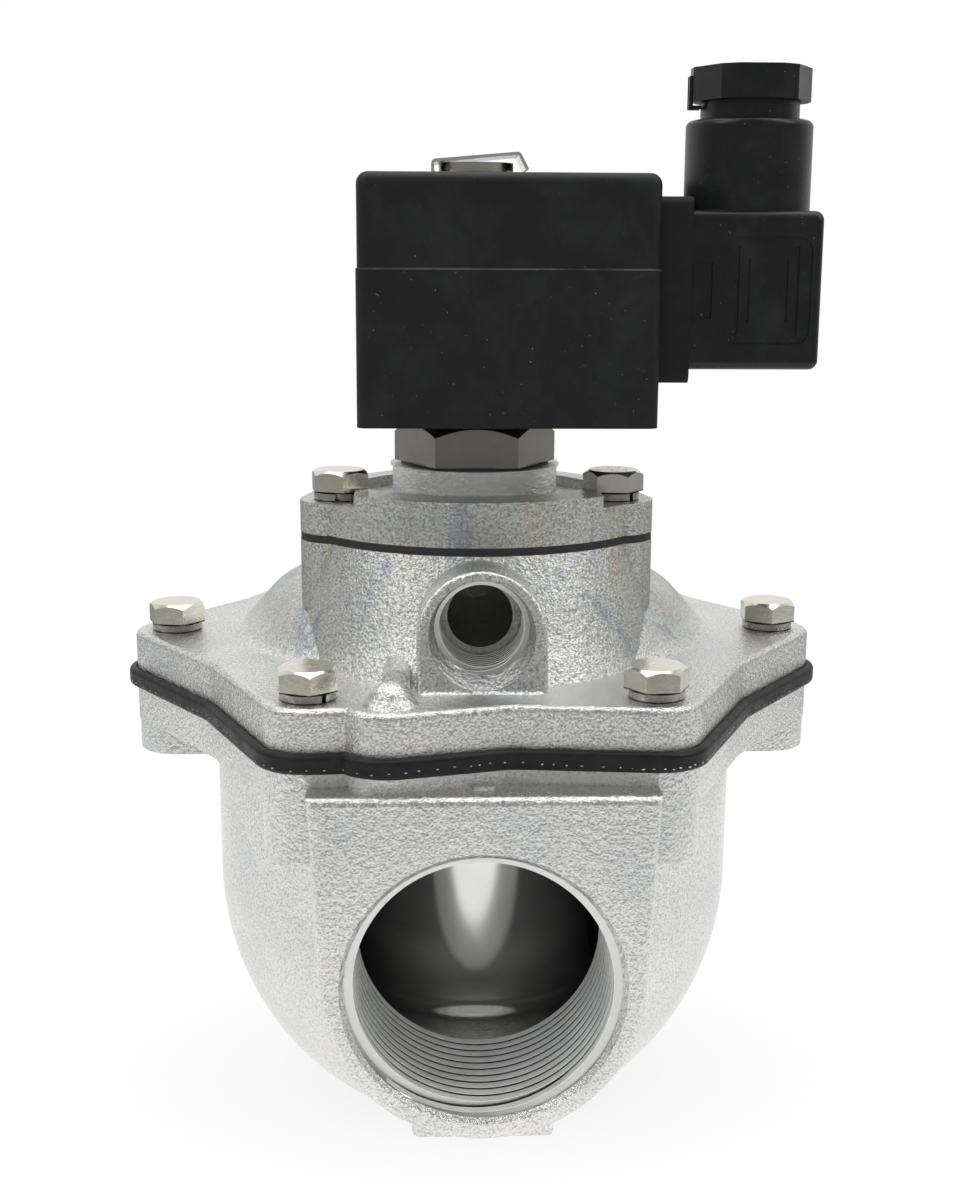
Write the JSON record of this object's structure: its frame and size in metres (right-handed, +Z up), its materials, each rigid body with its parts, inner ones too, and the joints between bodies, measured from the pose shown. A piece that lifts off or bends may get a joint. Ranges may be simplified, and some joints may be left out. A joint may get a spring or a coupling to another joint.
{
  "type": "dust collector pulse valve",
  "caption": "Right-angle air pulse valve: cast body, bolted bonnet over a diaphragm, integral pilot, solenoid coil and plug connector with a cable gland.",
  "frame": {"origin": "centre of the outlet port's end face, at the bottom of the body", "axes": "+Z up the valve's axis through body, bonnet and coil; -Y out of the inlet port; +X towards the plug connector"},
  "size_m": [0.1396, 0.1278, 0.2042],
  "materials": {
    "casting": "bead-blasted die casting, pale grey",
    "diaphragm": "black fabric-reinforced rubber",
    "seal_rubber": "moulded rubber",
    "gasket_rubber": "flat grey-black moulded rubber",
    "plate_steel": "pressed stainless steel",
    "zinc_steel": "zinc-plated steel",
    "spring_steel": "stainless spring wire",
    "core_steel": "turned stainless steel",
    "bright_clip": "bright plated spring strip",
    "coil_resin": "black moulded resin, slightly rough",
    "plug_plastic": "black glass-filled plastic",
    "contact_metal": "tinned brass"
  },
  "bodies": {
    "valve": {"body": "casting", "main_diaphragm": "diaphragm", "main_spring": "spring_steel", "bonnet": "casting", "pilot_diaphragm": "diaphragm", "pilot_spring": "spring_steel", "pilot_cover": "casting", "main_bolts": "zinc_steel", "main_spring_washers": "zinc_steel", "cover_bolts": "zinc_steel", "cover_spring_washers": "zinc_steel", "tube_seal": "seal_rubber", "core_tube": "core_steel", "fixed_core": "core_steel", "plunger_spring": "spring_steel", "coil_washer": "spring_steel", "coil_clip": "bright_clip"},
    "main_stack": {"main_seat_pad": "seal_rubber", "main_plate": "plate_steel", "main_washer": "plate_steel", "main_screw": "zinc_steel", "main_nut": "zinc_steel"},
    "pilot_stack": {"pilot_disc": "seal_rubber", "pilot_plate": "plate_steel", "pilot_rivet": "plate_steel"},
    "plunger": {"plunger": "core_steel", "plunger_seal": "seal_rubber"},
    "coil": {"coil": "coil_resin", "terminal_blades": "contact_metal", "connector_gasket": "gasket_rubber", "connector_housing": "plug_plastic", "connector_insert": "plug_plastic", "connector_screw": "zinc_steel", "gland_seal": "seal_rubber", "gland_washer": "plug_plastic", "gland_nut": "plug_plastic"}
  },
  "joints": [
    {"name": "main_lift", "type": "slide", "parent": "valve", "child": "main_stack", "axis": [0, 0, 1], "range_m": [0, 0.009], "stiffness_N_per_m": 900, "springref_m": -0.006, "deforming": ["main_diaphragm", "main_spring"]},
    {"name": "pilot_lift", "type": "slide", "parent": "valve", "child": "pilot_stack", "axis": [0, 0, 1], "range_m": [0, 0.002], "stiffness_N_per_m": 800, "springref_m": -0.003, "deforming": ["pilot_diaphragm", "pilot_spring"]},
    {"name": "plunger_lift", "type": "slide", "parent": "valve", "child": "plunger", "axis": [0, 0, 1], "range_m": [0, 0.0019], "stiffness_N_per_m": 600, "springref_m": -0.004, "deforming": ["plunger_spring"]},
    {"name": "coil_turn", "type": "hinge", "parent": "valve", "child": "coil", "pos_m": [0, 0, 0.161], "axis": [0, 0, 1], "continuous": true}
  ]
}
